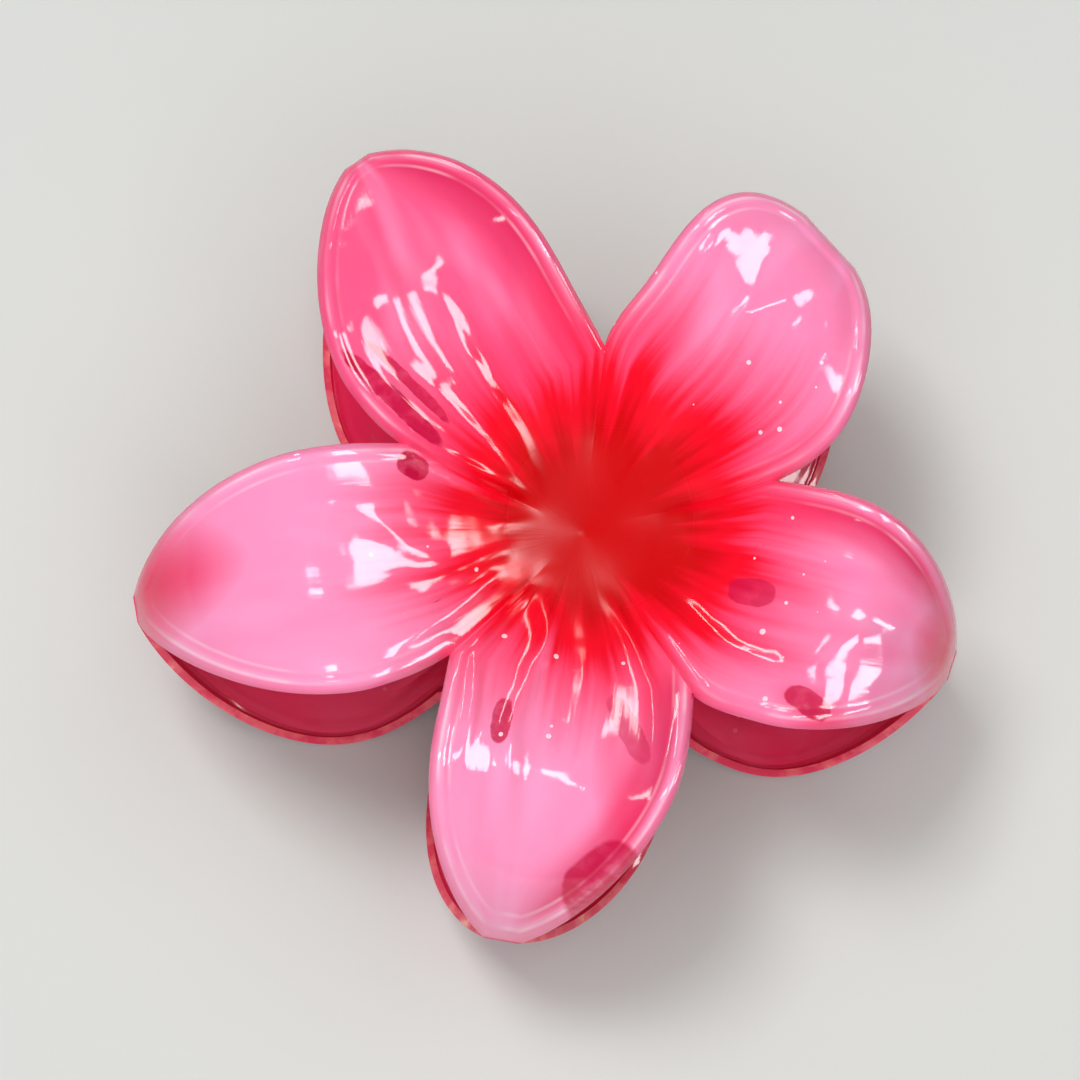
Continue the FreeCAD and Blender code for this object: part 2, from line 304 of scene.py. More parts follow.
def ridge(path, x, y, rise, half_wide):
    """Height of a rounded ridge along a path in plan, fading out at its ends."""
    distance, travelled = distance_to_path(path, x, y)
    fade = smoothstep(0.0, RIB_FADES_IN, travelled) * (1.0 - smoothstep(RIB_FADES_OUT, 1.0, travelled))
    return rise * fade * np.exp(-((distance / half_wide) ** 2))


def rib_relief(index, x, y):
    """Height that ribs, folds and lips add to a petal."""
    height = np.zeros_like(x)
    for petal, points, rise, half_wide in RIBS:
        if petal == index:
            along, share = np.array(points).T
            s = np.arange(along[0], along[-1], RIB_STEP)
            path = np.stack(plan(index, s, smooth_curve(along, share, s)), 1)
            height += ridge(path, x, y, rise, half_wide)
    for petal, side, start in LIPS:
        if petal == index:
            s = np.arange(start, notch_station(index, side) + LIP_OVERRUN, RIB_STEP)
            share = side * (1.0 - LIP_INSET / half_width(index, s, side))
            path = np.stack(plan(index, s, share), 1)
            height += ridge(path, x, y, LIP_HEIGHT, LIP_HALF_WIDTH)
    return height


def smooth_curve(x, y, at):
    """A smooth curve through the points, read at new places."""
    slope = np.gradient(y, x)
    k = np.clip(np.searchsorted(x, at) - 1, 0, len(x) - 2)
    wide = x[k + 1] - x[k]
    t = (at - x[k]) / wide
    rise = y[k + 1] - y[k]
    a = slope[k] * wide - rise
    b = rise - slope[k + 1] * wide
    return y[k] + rise * t + t * (1.0 - t) * (a * (1.0 - t) + b * t)


def ripple(x, y):
    """The slight unevenness of moulded and polished plastic."""
    wave = np.sin(0.9 * x + 0.5 * y + 1.3) * np.sin(0.7 * y - 0.4 * x + 0.4)
    wave = wave + 0.6 * np.sin(1.7 * x - 1.1 * y) * np.sin(1.3 * x + 1.9 * y + 2.0)
    return RIPPLE * wave


def border_relief(edge, s):
    """Height of the dished middle and the rolled border."""
    inside = smoothstep(DISH_STARTS, DISH_ENDS, edge) * smoothstep(RELIEF_STARTS, RELIEF_FULL, s)
    roll = np.clip(1.0 - edge / BEAD_ROLLS_OFF, 0.0, 1.0) ** 2
    shoulder = smoothstep(SHOULDER_STARTS, SHOULDER_ENDS, edge)
    bead = (BEAD_TOP - BEAD_ROLL * roll - SHOULDER * shoulder) * smoothstep(BORDER_STARTS, BORDER_FULL, s)
    return bead - DISH * inside


def distance_to_crease(index, s, across):
    """Rough distance of every point from the creases that its petal shares with its neighbours."""
    side_width = np.where(across > 0, half_width(index, s, 1.0), half_width(index, s, -1.0))
    notch = np.where(across > 0, notch_station(index, 1.0), notch_station(index, -1.0))
    return (1.0 - np.abs(across)) * side_width + np.clip(s - notch, 0.0, None)


def petal_points(index):
    """Grid of a petal's outer face, with the distance along it and the share across it."""
    length, is_jaw = PETALS[index].length - TIP_TRIM, PETALS[index].is_jaw
    s, across = np.meshgrid(rows(length), columns(), indexing="ij")
    x, y = plan(index, s, across)
    crease = smoothstep(CREASE_STARTS, CREASE_FULL, s) - smoothstep(CREASE_FADES, CREASE_ENDS, s)
    edge = distance_to_edge(index, x, y)
    ribs = rib_relief(index, x, y) * smoothstep(0.0, CREASE_FADE, distance_to_crease(index, s, across))
    relief = border_relief(edge, s) + ribs + ripple(x, y)
    blend = smoothstep(THROAT_SMOOTH, THROAT_SMOOTH_ENDS, s)
    z = crest(s, np.hypot(x, y), length, is_jaw) - CREASE_DEPTH * crease * across**2 + relief * blend
    if is_jaw:
        z = np.maximum(z, JAW_TIP_HEIGHT)
    return np.stack([x, y, z], -1), s, across


def flower_mesh(flower):
    """One flower moulding's outer face as a single welded sheet."""
    verts, faces, coords, borders = [], [], [], []
    for index in range(len(PETALS)):
        points, s, across = petal_points(index)
        # How strongly painted shade darkens the border here
        shaded = smoothstep(*SHADE_ACROSS, across * SHADED_SIDE[index]) * smoothstep(*SHADE_ALONG, s)
        border = distance_to_edge(index, points[..., 0], points[..., 1], EDGE_RUN_ON)
        first = len(verts)
        n_rows, n_columns = s.shape
        points = points * MM
        points[..., 2] *= SIDE[flower]
        verts.extend(map(tuple, points.reshape(-1, 3)))
        for i in range(n_rows - 1):
            for j in range(n_columns - 1):
                a = first + i * n_columns + j
                quad = [a, a + n_columns, a + n_columns + 1, a + 1]
                corners = [(i, j), (i + 1, j), (i + 1, j + 1), (i, j + 1)]
                if flower == REAR:
                    quad.reverse()
                    corners.reverse()
                faces.append(quad)
                coords.extend((across[corner] + PETAL_STEP * index, s[corner] / CM) for corner in corners)
                borders.extend((border[corner] / CM, shaded[corner]) for corner in corners)
    mesh = bpy.data.meshes.new(f"{flower}_flower")
    mesh.from_pydata(verts, [], faces)
    for name, values in (("petal", coords), ("border", borders)):
        layer = mesh.uv_layers.new(name=name)
        layer.data.foreach_set("uv", np.array(values, dtype=np.float32).ravel())
    bm = bmesh.new()
    bm.from_mesh(mesh)
    bmesh.ops.remove_doubles(bm, verts=bm.verts, dist=WELD_DISTANCE * MM)
    bmesh.ops.dissolve_degenerate(bm, edges=bm.edges, dist=WELD_DISTANCE * MM)
    bm.to_mesh(mesh)
    bm.free()
    mesh.shade_smooth()
    return mesh


def thin_towards_edge(piece):
    """Weighs a flower's vertices so that its wall thins towards the petals' edges."""
    mesh = piece.data
    corners = np.zeros(len(mesh.loops), dtype=np.int32)
    mesh.loops.foreach_get("vertex_index", corners)
    border = np.zeros(2 * len(mesh.loops), dtype=np.float32)
    mesh.uv_layers["border"].data.foreach_get("uv", border)
    edge = np.zeros(len(mesh.vertices))
    edge[corners] = border[::2] * CM
    group = piece.vertex_groups.new(name="wall")
    for index, weight in enumerate(smoothstep(WALL_THINNEST, WALL_FULL, edge)):
        group.add([index], float(weight), "REPLACE")
    return group.name


def add_piece(name, mesh, body, materials, at=CENTRE):
    """Adds a mesh to the scene as a piece that rides on a body."""
    piece = bpy.data.objects.new(name, mesh)
    piece.location = at
    bpy.context.scene.collection.objects.link(piece)
    for material in materials:
        mesh.materials.append(material)
    if body:
        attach(piece, body)
    return piece


def apply_modifiers(piece):
    """Turns a piece's modifiers into plain mesh, and drops the weights that steered them."""
    bpy.context.view_layer.update()
    graph = bpy.context.evaluated_depsgraph_get()
    mesh = bpy.data.meshes.new_from_object(piece.evaluated_get(graph))
    piece.modifiers.clear()
    piece.data = mesh
    piece.vertex_groups.clear()


def flower(side):
    """One whole flower moulding's petals and throat."""
    piece = add_piece(f"{side}_flower", flower_mesh(side), BODY[side],
                      [petal_material(), inner_material(), rim_material()])
    solid = piece.modifiers.new("wall", "SOLIDIFY")
    solid.thickness = WALL * MM
    solid.vertex_group = thin_towards_edge(piece)
    solid.thickness_vertex_group = EDGE_WALL_SHARE
    solid.offset = -1.0
    solid.material_offset = 1
    solid.material_offset_rim = 2
    bevel = piece.modifiers.new("rim", "BEVEL")
    bevel.width = RIM_ROUNDING * MM
    bevel.segments = RIM_SEGMENTS
    bevel.limit_method = "ANGLE"
    bevel.angle_limit = RIM_ANGLE
    bevel.material = 2
    apply_modifiers(piece)
    for vertex in piece.data.vertices:
        height = vertex.co.z * SIDE[side]
        vertex.co.z = SIDE[side] * max(height, PARTING_GAP * MM)
    piece.data.shade_smooth()
    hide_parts(*[f"{side}_{petal.name}" for petal in PETALS], f"{side}_throat")
    return piece


# ---- tines ----

# Place along the hinge line and radius about it, as on the front flower
TINES = [(-15.0, 21.5), (-3.0, 28.0), (9.0, 28.0), (21.0, 23.5)]
TINE_REACH = 7.0
TINE_TIP_RADIUS = 0.8
TINE_ROOT_RADIUS = 1.5
TINE_FLARE = 0.9
TINE_FLARE_LENGTH = 2.2
TINE_SUNK = 0.7
TINE_SIDES = 24
TINE_CAP_STEPS = 6
TINE_SHANK_STEPS = 40
TINE_STEP = math.radians(1.5)


def tine_point(side, x, radius, angle):
    """A point on a tine's centreline, which is an arc about the hinge line, in millimetres."""
    y, z = HINGE_Y - radius * math.cos(angle), radius * math.sin(angle)
    return Vector((x * SIDE[side], y, z * SIDE[side]))


def tine_root(petals, side, x, radius):
    """Angle at which a tine meets the inner face of its petal."""
    angle = 0.0
    while angle < math.pi / 2.0:
        start = tine_point(side, x, radius, angle) * MM
        way = tine_point(side, x, radius, angle + TINE_STEP) * MM - start
        hit, place = petals.ray_cast(start, way.normalized(), distance=way.length)[:2]
        if hit:
            return angle + TINE_STEP * (place - start).length / way.length
        angle += TINE_STEP
    return angle


def tine_stations(first, last, radius):
    """Angles of a tine's rings: closely spaced round its tip, then even up to its root."""
    cap = np.linspace(0.0, math.pi / 2.0, TINE_CAP_STEPS + 1)
    stations = [first + TINE_TIP_RADIUS * (1.0 - math.cos(step)) / radius for step in cap]
    return stations + list(np.linspace(stations[-1], last, TINE_SHANK_STEPS)[1:])


def tine_thickness(travelled, whole):
    """Radius of a tine at a distance from its tip: a round tip, a slight taper and a flared root."""
    thick = TINE_TIP_RADIUS + (TINE_ROOT_RADIUS - TINE_TIP_RADIUS) * travelled / whole
    if travelled < TINE_TIP_RADIUS:
        thick *= math.sqrt(max(1.0 - (1.0 - travelled / TINE_TIP_RADIUS) ** 2, 1e-4))
    flare = max(1.0 - (whole - travelled) / TINE_FLARE_LENGTH, 0.0)
    return thick + TINE_FLARE * flare**2


def add_tine(bm, petals, side, x, radius):
    """Adds one tine as a closed tube of rings along its arc."""
    first = -TINE_REACH / radius
    last = tine_root(petals, side, x, radius) + TINE_SUNK / radius
    rings = []
    for angle in tine_stations(first, last, radius):
        thick = tine_thickness((angle - first) * radius, (last - first) * radius)
        outward = Vector((0.0, -math.cos(angle), math.sin(angle) * SIDE[side]))
        ring = []
        for k in range(TINE_SIDES):
            turn = 2.0 * math.pi * k / TINE_SIDES
            offset = Vector((math.cos(turn) * SIDE[side], 0.0, 0.0)) + outward * math.sin(turn)
            ring.append(bm.verts.new((tine_point(side, x, radius, angle) + offset * thick) * MM))
        rings.append(ring)
    for low, high in zip(rings[:-1], rings[1:]):
        for k in range(TINE_SIDES):
            after = (k + 1) % TINE_SIDES
            bm.faces.new((low[k], low[after], high[after], high[k]))
    bm.faces.new(rings[0][::-1])
    bm.faces.new(rings[-1])


def tines(petals, side):
    """The row of curved tines inside one flower."""
    bm = bmesh.new()
    for x, radius in TINES:
        add_tine(bm, petals, side, x, radius)
    bmesh.ops.recalc_face_normals(bm, faces=bm.faces)
    mesh = bpy.data.meshes.new(f"{side}_tine_row")
    bm.to_mesh(mesh)
    bm.free()
    mesh.shade_smooth()
    piece = add_piece(f"{side}_tine_row", mesh, BODY[side], [rose_plastic_material()])
    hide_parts(f"{side}_tines")


# ---- spring ----

WIRE_RADIUS = 0.5
COIL_RADIUS = 2.6
COIL_PITCH = 1.2
COIL_FULL_TURNS = 6
LEG_LENGTH = 13.5
LEG_ANGLE = 42.0
COIL_STEPS = 32
WIRE_ROUNDNESS = 5


def spring_path():
    """The wire's centreline from the front flower's seat, round the pin and on to the rear flower's."""
    turned = math.radians(90.0 + LEG_ANGLE)
    sweep = 2.0 * math.pi * COIL_FULL_TURNS + 2.0 * math.pi - 2.0 * turned
    half_coil = COIL_PITCH * sweep / (4.0 * math.pi)
    steps = round(COIL_STEPS * sweep / (2.0 * math.pi))
    path = []
    for k in range(steps + 1):
        angle = turned + sweep * k / steps
        x = -half_coil + 2.0 * half_coil * k / steps
        path.append(Vector((x, COIL_RADIUS * math.cos(angle), COIL_RADIUS * math.sin(angle))))
    start_way = (path[0] - path[1]).normalized()
    end_way = (path[-1] - path[-2]).normalized()
    return [path[0] + start_way * LEG_LENGTH, *path, path[-1] + end_way * LEG_LENGTH], half_coil


def wire_mesh(path):
    """A round wire along a path."""
    curve = bpy.data.curves.new("spring_wire", "CURVE")
    curve.dimensions = "3D"
    curve.bevel_depth = WIRE_RADIUS * MM
    curve.bevel_resolution = WIRE_ROUNDNESS
    curve.use_fill_caps = True
    spline = curve.splines.new("POLY")
    spline.points.add(len(path) - 1)
    for point, place in zip(spline.points, path):
        point.co = (*(place * MM + HINGE), 1.0)
    holder = bpy.data.objects.new("spring_wire", curve)
    bpy.context.scene.collection.objects.link(holder)
    bpy.context.view_layer.update()
    graph = bpy.context.evaluated_depsgraph_get()
    mesh = bpy.data.meshes.new_from_object(holder.evaluated_get(graph))
    bpy.data.objects.remove(holder)
    mesh.name = "spring_coil"
    mesh.materials.clear()
    mesh.shade_smooth()
    return mesh


def torsion_spring():
    """The torsion spring, coiled along the hinge line; it is built in one fixed shape and does not wind
    up as the jaws open.
    """
    path, half_coil = spring_path()
    steel = steel_material("spring_wire_steel", 0.55, 0.22)
    piece = add_piece("spring_coil", wire_mesh(path), None, [steel], at=(0, 0, 0))
    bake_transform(piece)
    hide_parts("torsion_spring")


# ---- materials ----


def new_material(name):
    """A node material, with its shader node and its node tree."""
    material = bpy.data.materials.new(name)
    material.use_nodes = True
    tree = material.node_tree
    return material, tree.nodes["Principled BSDF"], tree


def add_node(tree, kind, **settings):
    """Adds a shader node. Settings that start with in_ set the input of that name."""
    node = tree.nodes.new(kind)
    for key, value in settings.items():
        if key.startswith("in_"):
            node.inputs[key[3:]].default_value = value
        else:
            setattr(node, key, value)
    return node


def ramp(tree, source, stops, interpolation="EASE"):
    """A colour ramp from a list of (position, colour), where a single number stands for a grey."""
    node = tree.nodes.new("ShaderNodeValToRGB")
    node.color_ramp.interpolation = interpolation
    elements = node.color_ramp.elements
    while len(elements) < len(stops):
        elements.new(0.5)
    for element, (position, colour) in zip(elements, stops):
        element.position = position
        element.color = (*colour, 1.0) if isinstance(colour, tuple) else (colour, colour, colour, 1.0)
    tree.links.new(source, node.inputs["Fac"])
    return node.outputs["Color"]


def maths(tree, operation, a, b=None, clamp=False):
    """A maths node of two values, each a number or a socket."""
    node = tree.nodes.new("ShaderNodeMath")
    node.operation = operation
    node.use_clamp = clamp
    for socket, value in zip(node.inputs, (a, b)):
        if isinstance(value, (int, float)):
            socket.default_value = value
        elif value is not None:
            tree.links.new(value, socket)
    return node.outputs[0]


def mix(tree, share, a, b):
    """A colour mix, where each input is a colour or a socket."""
    node = tree.nodes.new("ShaderNodeMix")
    node.data_type = "RGBA"
    for socket, value in zip((node.inputs[0], node.inputs[6], node.inputs[7]), (share, a, b)):
        if isinstance(value, bpy.types.NodeSocket):
            tree.links.new(value, socket)
        elif isinstance(value, tuple):
            socket.default_value = (*value, 1.0)
        else:
            socket.default_value = value
    return node.outputs[2]


DEEP_RED = (0.58, 0.0, 0.002)
VIVID_RED = (0.84, 0.002, 0.018)
HOT_PINK = (0.95, 0.035, 0.12)
# Painted sheen: the lilac of a soft reflection in the pink
LILAC_SHEEN_PINK = (0.95, 0.38, 0.62)
# Painted shade: the darker rose inside a petal's shaded border
SHADE_BAND_ROSE = (0.68, 0.018, 0.100)
TIP_ROSE = (0.80, 0.05, 0.16)
BLUSH_ROSE = (0.82, 0.006, 0.085)
# Painted shade: the crimson of the darker patches
SHADE_CRIMSON = (0.55, 0.003, 0.055)
# Painted shade: the inner faces darkened to a deep red
INNER_SHADE_RED = (0.66, 0.003, 0.050)
INNER_SHADE_SHARE = 0.88
# Painted highlight: the pale pink of the bright lines along the borders
EDGE_HIGHLIGHT_PINK = (1.0, 0.62, 0.74)
BUBBLE_WHITE = (1.0, 0.85, 0.9)
# Painted light: rims mottled lighter, towards peach, as if lit through the plastic
RIM_GLOW_REDS = [(0.42, (0.78, 0.05, 0.11)), (0.62, (0.90, 0.14, 0.18)), (0.75, (0.98, 0.40, 0.30))]
ROSE_PLASTIC = [(0.3, (0.62, 0.01, 0.08)), (0.7, (0.80, 0.05, 0.18))]

# Noise drawn out along the petals: scale across, scale along, detail
FINE_STREAKS = (15.0, 0.5, 4.0)
BROAD_STREAKS = (3.6, 0.3, 2.0)
# The clouds of painted lilac sheen
SHEEN_CLOUDS = (1.6, 0.45, 2.0)
# Breaks up the painted highlight lines along the borders
HIGHLIGHT_BREAKUP = (0.9, 1.1, 2.0)

# How far the streaks pull the red centre's border in and out, in cm
FINE_PULL = 0.5
BROAD_PULL = 1.3

# The red centre, about its own middle: stops along the distance from it, where 1 is RED_REACH cm away
RED_MIDDLE_CM = (0.15, 0.08)
RED_REACH = 1.0 / 0.235
RED_STOPS = [(0.0, DEEP_RED), (0.17, DEEP_RED), (0.28, VIVID_RED), (0.40, HOT_PINK), (1.0, HOT_PINK)]
PINK_STOPS = [(0.30, 0.0), (0.60, 1.0)]

# Lilac clouds of painted sheen: the noise value where they start, and how fast they grow above it
SHEEN_STARTS = 0.45
SHEEN_GAIN = 2.2

# Borders: stops along the distance from the edge in cm, for the band of painted shade, the rosy edge and
# the painted highlight lines
SHADE_BAND_STRENGTH = 0.9
SHADE_BAND_STOPS = [(0.0, 0.15), (0.10, 0.2), (0.20, 1.0), (0.36, 0.8), (0.62, 0.0)]
EDGE_GLOW_STOPS = [(0.0, 0.55), (0.05, 0.25), (0.12, 0.0)]
HIGHLIGHT_LINE_STOPS = [(0.055, 0.0), (0.085, 1.0), (0.11, 0.25), (0.14, 0.0), (0.165, 0.0), (0.19, 0.6),
              (0.215, 0.0)]
HIGHLIGHT_BREAKUP_STOPS = [(0.38, 0.1), (0.62, 0.75)]

# The throat is duller than the petals: stops along the distance from the red centre, where 1 is
# DULL_REACH cm away
DULL_REACH = 1.0 / 0.6
ROUGHNESS_STOPS = [(0.0, 0.55), (0.95, 0.085)]

# Clear plastic
PLASTIC_IOR = 1.45
GLOW_RADIUS = (1.0, 0.25, 0.4)
GLOW_SCALE = 0.0025

# Each petal's own pink, upper left round to left
PETAL_PINKS = [(0.90, 0.100, 0.245), (0.95, 0.240, 0.450), (0.95, 0.195, 0.385), (0.97, 0.270, 0.480),
               (0.96, 0.280, 0.500)]

# Darker patches of painted shade, and soft blushes in the pink:
# x, y, half length, half width, turn in degrees, strength. Their outlines are squarer with more power
# and crisper with more hardness, and lie where the two shares reach PATCH_EDGE together.
PAINTED_SHADE_PATCHES = [
    (-18.8, 9.9, 6.2, 0.85, -36.0, 0.95),
    (-17.4, 11.6, 5.2, 0.50, -38.0, 0.85),
    (-16.4, 4.0, 1.5, 1.3, -20.0, 1.0),
    (-6.3, -19.8, 2.2, 0.95, 85.0, 0.85),
    (5.6, -19.6, 3.8, 1.1, -62.0, 0.50),
    (16.3, -5.6, 2.2, 1.35, -8.0, 0.70),
    (21.9, -16.2, 2.3, 1.2, -30.0, 0.85),
    (4.4, -34.0, 3.9, 3.2, 40.0, 0.85),
]
BLUSHES = [
    (-40.5, -8.5, 9.0, 6.0, 15.0, 0.95),
    (35.6, -9.2, 4.8, 4.2, 75.0, 1.00),
    (22.5, -17.5, 5.0, 2.6, -30.0, 0.60),
    (5.0, -26.0, 9.0, 2.6, -80.0, 0.45),
]
PATCH_EDGE = 1.1
PATCH_POWER = 2.6
PATCH_HARDNESS = 4.0
PATCH_WOBBLE = 0.5
PATCH_NOISE_SCALE = 700.0
PATCH_MOTTLE = [(0.3, 0.75), (0.6, 1.0)]
BLUSH_POWER = 1.6
BLUSH_HARDNESS = 0.9

# Air bubbles: cells per metre, largest share of a cell, share of cells left empty, strength, and the
# nearest and farthest distance from the red centre in cm
BUBBLE_CELLS = 620.0
BUBBLE_SIZE = 0.19
BUBBLE_EMPTY = 0.68
BUBBLE_STRENGTH = 0.7
BUBBLE_NEAREST = 1.2
BUBBLE_FARTHEST = 2.5


def patches(tree, place, table, power, hardness):
    """Where the patches of a table are, as a value from 0 to 1."""
    total = None
    for x, y, half_length, width, turn, strength in table:
        mapping = add_node(tree, "ShaderNodeMapping", vector_type="TEXTURE")
        mapping.inputs["Location"].default_value = (x * MM, y * MM, 0.0)
        mapping.inputs["Rotation"].default_value = (0.0, 0.0, math.radians(turn))
        mapping.inputs["Scale"].default_value = (half_length * MM, width * MM, 1.0)
        tree.links.new(place, mapping.inputs["Vector"])
        apart = add_node(tree, "ShaderNodeSeparateXYZ")
        tree.links.new(mapping.outputs[0], apart.inputs[0])
        x_share = maths(tree, "POWER", maths(tree, "ABSOLUTE", apart.outputs[0]), power)
        y_share = maths(tree, "POWER", maths(tree, "ABSOLUTE", apart.outputs[1]), power)
        depth = maths(tree, "SUBTRACT", PATCH_EDGE, maths(tree, "ADD", x_share, y_share))
        depth = maths(tree, "MULTIPLY", depth, hardness, clamp=True)
        inside = maths(tree, "MULTIPLY", depth, strength)
        total = inside if total is None else maths(tree, "MAXIMUM", total, inside)
    return total


def petal_coordinates(tree):
    """The petal's coordinates, both border values, the place in the flower, cm from the red centre."""
    uv = add_node(tree, "ShaderNodeUVMap", uv_map="petal").outputs[0]
    border = add_node(tree, "ShaderNodeSeparateXYZ")
    tree.links.new(add_node(tree, "ShaderNodeUVMap", uv_map="border").outputs[0], border.inputs[0])
    place = add_node(tree, "ShaderNodeTexCoord").outputs["Object"]
    flat = add_node(tree, "ShaderNodeVectorMath", operation="MULTIPLY_ADD")
    tree.links.new(place, flat.inputs[0])
    flat.inputs[1].default_value = (1.0 / (CM * MM), 1.0 / (CM * MM), 0.0)
    flat.inputs[2].default_value = (-RED_MIDDLE_CM[0], -RED_MIDDLE_CM[1], 0.0)
    length = add_node(tree, "ShaderNodeVectorMath", operation="LENGTH")
    tree.links.new(flat.outputs[0], length.inputs[0])
    return uv, border.outputs[0], border.outputs[1], place, length.outputs["Value"]


def streaks(tree, uv, across_scale, along_scale, detail):
    """Noise drawn out along the petals, so that it runs from the throat to the tip."""
    mapping = add_node(tree, "ShaderNodeMapping")
    mapping.inputs["Scale"].default_value = (across_scale, along_scale, 1.0)
    tree.links.new(uv, mapping.inputs["Vector"])
    noise = add_node(tree, "ShaderNodeTexNoise", in_Scale=1.0, in_Detail=detail, in_Roughness=0.6)
    tree.links.new(mapping.outputs[0], noise.inputs["Vector"])
    return noise.outputs["Fac"]


def centred(tree, source, amount):
    """A noise value moved to lie about zero and scaled."""
    return maths(tree, "MULTIPLY", maths(tree, "SUBTRACT", source, 0.5), amount)


def petal_pink(tree, uv):
    """The pink of the petal that a point belongs to."""
    apart = add_node(tree, "ShaderNodeSeparateXYZ")
    tree.links.new(uv, apart.inputs[0])
    count = len(PETAL_PINKS)
    place = maths(tree, "ADD", apart.outputs[0], PETAL_STEP / 2.0)
    share = maths(tree, "MULTIPLY", place, 1.0 / (PETAL_STEP * count))
    return ramp(tree, share, [(k / count, pink) for k, pink in enumerate(PETAL_PINKS)], "CONSTANT")


def bubbles(tree, uv, place, radius):
    """Tiny air bubbles in the clear skin, past the red centre of every petal but the upper left one."""
    cells = add_node(tree, "ShaderNodeTexVoronoi", in_Scale=BUBBLE_CELLS, in_Randomness=1.0)
    tree.links.new(place, cells.inputs["Vector"])
    chance = add_node(tree, "ShaderNodeSeparateColor")
    tree.links.new(cells.outputs["Color"], chance.inputs[0])
    apart = add_node(tree, "ShaderNodeSeparateXYZ")
    tree.links.new(uv, apart.inputs[0])
    size = maths(tree, "MULTIPLY", chance.outputs[1], BUBBLE_SIZE)
    spot = maths(tree, "LESS_THAN", cells.outputs["Distance"], size)
    for test in (
        maths(tree, "GREATER_THAN", chance.outputs[0], BUBBLE_EMPTY),
        maths(tree, "GREATER_THAN", radius, BUBBLE_NEAREST),
        maths(tree, "LESS_THAN", radius, BUBBLE_FARTHEST),
        maths(tree, "GREATER_THAN", apart.outputs[0], PETAL_STEP / 2.0),
    ):
        spot = maths(tree, "MULTIPLY", spot, test)
    return spot


def bordered_pink(tree, uv, edge, shaded):
    """A petal's pink, clouded with a painted lilac sheen, with a band of painted shade inside its shaded
    border and a rosy edge.
    """
    sheen_share = maths(tree, "SUBTRACT", streaks(tree, uv, *SHEEN_CLOUDS), SHEEN_STARTS)
    sheen_share = maths(tree, "MULTIPLY", sheen_share, SHEEN_GAIN, clamp=True)
    pink = mix(tree, sheen_share, petal_pink(tree, uv), LILAC_SHEEN_PINK)
    # A band of painted shade inside the shaded border
    band = maths(tree, "MULTIPLY", ramp(tree, edge, SHADE_BAND_STOPS), shaded)
    pink = mix(tree, maths(tree, "MULTIPLY", band, SHADE_BAND_STRENGTH), pink, SHADE_BAND_ROSE)
    return mix(tree, ramp(tree, edge, EDGE_GLOW_STOPS), pink, TIP_ROSE)


def painted_shade_behind(tree, place):
    """How strongly the darker patches of painted shade show, with a slightly ragged and mottled outline.
    """
    ragged = add_node(tree, "ShaderNodeTexNoise", in_Scale=PATCH_NOISE_SCALE, in_Detail=3.0)
    tree.links.new(place, ragged.inputs["Vector"])
    wobble = add_node(tree, "ShaderNodeVectorMath", operation="MULTIPLY_ADD")
    tree.links.new(ragged.outputs["Color"], wobble.inputs[0])
    wobble.inputs[1].default_value = (PATCH_WOBBLE * MM,) * 3
    tree.links.new(place, wobble.inputs[2])
    behind = patches(tree, wobble.outputs[0], PAINTED_SHADE_PATCHES, PATCH_POWER, PATCH_HARDNESS)
    return maths(tree, "MULTIPLY", behind, ramp(tree, ragged.outputs["Fac"], PATCH_MOTTLE))


def petal_colour(tree, outer=True):
    """A face's colour: a red centre that breaks into streaks, then pink with rosier borders and tips,
    painted highlight lines along the borders and, on outer faces, patches of painted shade.
    """
    uv, edge, shaded, place, radius = petal_coordinates(tree)
    fine = streaks(tree, uv, *FINE_STREAKS)
    broad = streaks(tree, uv, *BROAD_STREAKS)
    shift = maths(tree, "ADD", centred(tree, fine, FINE_PULL), centred(tree, broad, BROAD_PULL))
    reach = maths(tree, "MULTIPLY", maths(tree, "ADD", radius, shift), 1.0 / RED_REACH, clamp=True)
    to_pink = ramp(tree, reach, PINK_STOPS)
    base = mix(tree, to_pink, ramp(tree, reach, RED_STOPS), bordered_pink(tree, uv, edge, shaded))
    # Painted highlight lines along the borders, broken up by streaks
    highlight_gaps = ramp(tree, streaks(tree, uv, *HIGHLIGHT_BREAKUP), HIGHLIGHT_BREAKUP_STOPS)
    lines = maths(tree, "MULTIPLY", ramp(tree, edge, HIGHLIGHT_LINE_STOPS), highlight_gaps)
    base = mix(tree, maths(tree, "MULTIPLY", lines, to_pink), base, EDGE_HIGHLIGHT_PINK)
    base = mix(tree, patches(tree, place, BLUSHES, BLUSH_POWER, BLUSH_HARDNESS), base, BLUSH_ROSE)
    # Patches of painted shade, on the outer faces only
    if outer:
        base = mix(tree, painted_shade_behind(tree, place), base, SHADE_CRIMSON)
    specks = maths(tree, "MULTIPLY", bubbles(tree, uv, place, radius), BUBBLE_STRENGTH)
    return mix(tree, specks, base, BUBBLE_WHITE), fine, radius


def glossy(shader, roughness=0.08, subsurface=0.22):
    """Sets a shader up as clear moulded plastic."""
    shader.inputs["Roughness"].default_value = roughness
    shader.inputs["IOR"].default_value = PLASTIC_IOR
    shader.inputs["Subsurface Weight"].default_value = subsurface
    shader.inputs["Subsurface Radius"].default_value = GLOW_RADIUS
    shader.inputs["Subsurface Scale"].default_value = GLOW_SCALE


def petal_material():
    """The outer faces of the petals, with a trace of the streaks as relief."""
    material, shader, tree = new_material("petal_outer")
    glossy(shader)
    base, fine, radius = petal_colour(tree)
    tree.links.new(base, shader.inputs["Base Color"])
    bump = add_node(tree, "ShaderNodeBump", in_Strength=0.12, in_Distance=0.0002)
    tree.links.new(fine, bump.inputs["Height"])
    tree.links.new(bump.outputs[0], shader.inputs["Normal"])
    rough = ramp(tree, maths(tree, "MULTIPLY", radius, 1.0 / DULL_REACH), ROUGHNESS_STOPS)
    tree.links.new(rough, shader.inputs["Roughness"])
    return material


